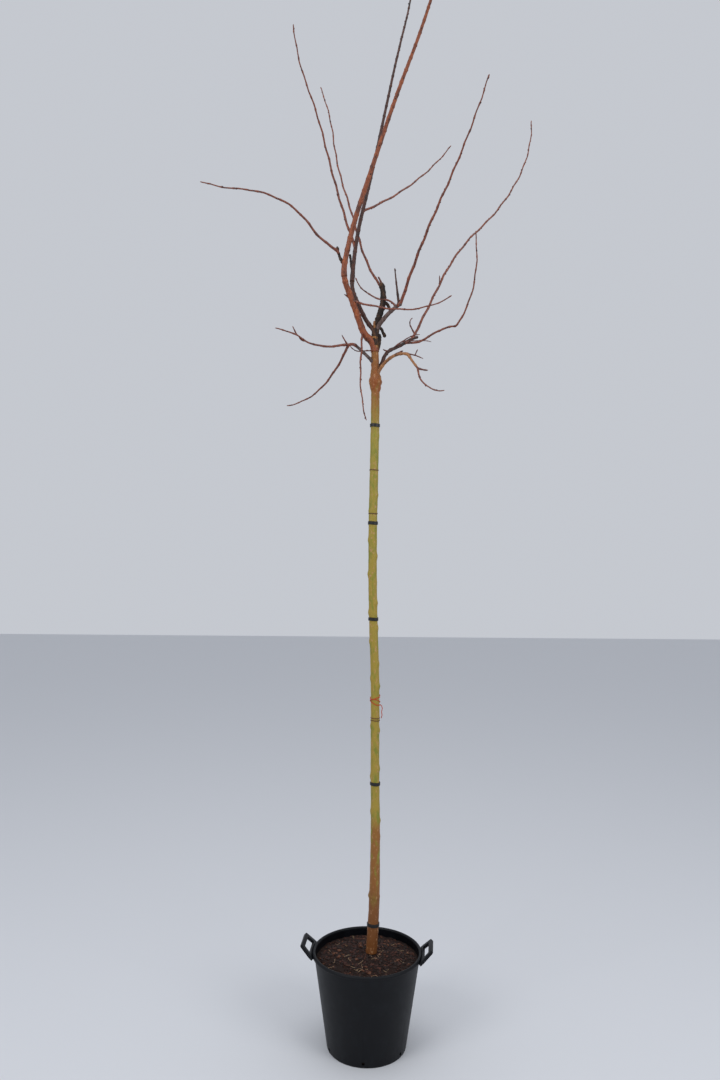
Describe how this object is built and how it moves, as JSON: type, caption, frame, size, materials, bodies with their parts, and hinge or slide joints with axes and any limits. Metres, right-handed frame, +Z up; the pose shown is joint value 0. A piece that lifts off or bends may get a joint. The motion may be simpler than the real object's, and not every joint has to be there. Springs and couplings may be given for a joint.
{
  "type": "potted top-grafted locust tree, bare in winter",
  "caption": "Bare young grafted standard tree with a tall clear stem and an open crown of leaders and shoots, in a round black nursery pot with side handles.",
  "frame": {"origin": "centre of the pot's flat underside", "axes": "+Z up along the stem, -Y to the front as the picture shows it, +X to the tree's right in the picture"},
  "size_m": [1.2728, 0.6359, 4.5747],
  "materials": {
    "pot_plastic": "satin black moulded plastic",
    "soil": "damp composted bark with bark chips",
    "tie_band": "black flexible tie tape",
    "stem_bark": "smooth mottled olive and ochre bark",
    "orange_bark": "rust-orange bark, slightly ridged",
    "dark_bark": "dark grey-brown bark",
    "grey_bark": "grey-mauve bark",
    "tan_bark": "tan-orange bark",
    "dead_wood": "dead and cut wood, dark and flaky",
    "red_shoot_bark": "red-brown young shoots, satin"
  },
  "bodies": {
    "root": {"bough_front": "tan_bark", "bough_front_end": "tan_bark", "bough_left": "grey_bark", "bough_low_right": "dark_bark", "bough_right": "grey_bark", "dead_snag": "dead_wood", "leader_a_lower": "orange_bark", "leader_a_upper": "orange_bark", "leader_b_lower": "dark_bark", "leader_b_upper": "dark_bark", "pot_handle_left": "pot_plastic", "pot_handle_right": "pot_plastic", "pot_shell": "pot_plastic", "shoot_a_left": "red_shoot_bark", "shoot_b_left": "red_shoot_bark", "shoot_b_right": "red_shoot_bark", "shoot_far_right": "red_shoot_bark", "shoot_hanging": "red_shoot_bark", "shoot_left": "red_shoot_bark", "shoot_low_left": "red_shoot_bark", "shoot_low_right": "red_shoot_bark", "shoot_low_right_tip": "red_shoot_bark", "shoot_right": "red_shoot_bark", "shoot_snag": "red_shoot_bark", "soil_fill": "soil", "spike_right": "red_shoot_bark", "stem": "stem_bark", "stub_a": "dead_wood", "stub_b": "dead_wood", "stub_fork": "stem_bark", "stub_snag_high": "dead_wood", "stub_snag_low": "dead_wood", "stub_stem": "dead_wood", "tie_band_1": "tie_band", "tie_band_2": "tie_band", "tie_band_3": "tie_band", "tie_band_4": "tie_band", "tie_band_5": "tie_band", "twig_back": "red_shoot_bark", "twig_cross": "red_shoot_bark", "twig_front_down": "red_shoot_bark"}
  },
  "joints": []
}
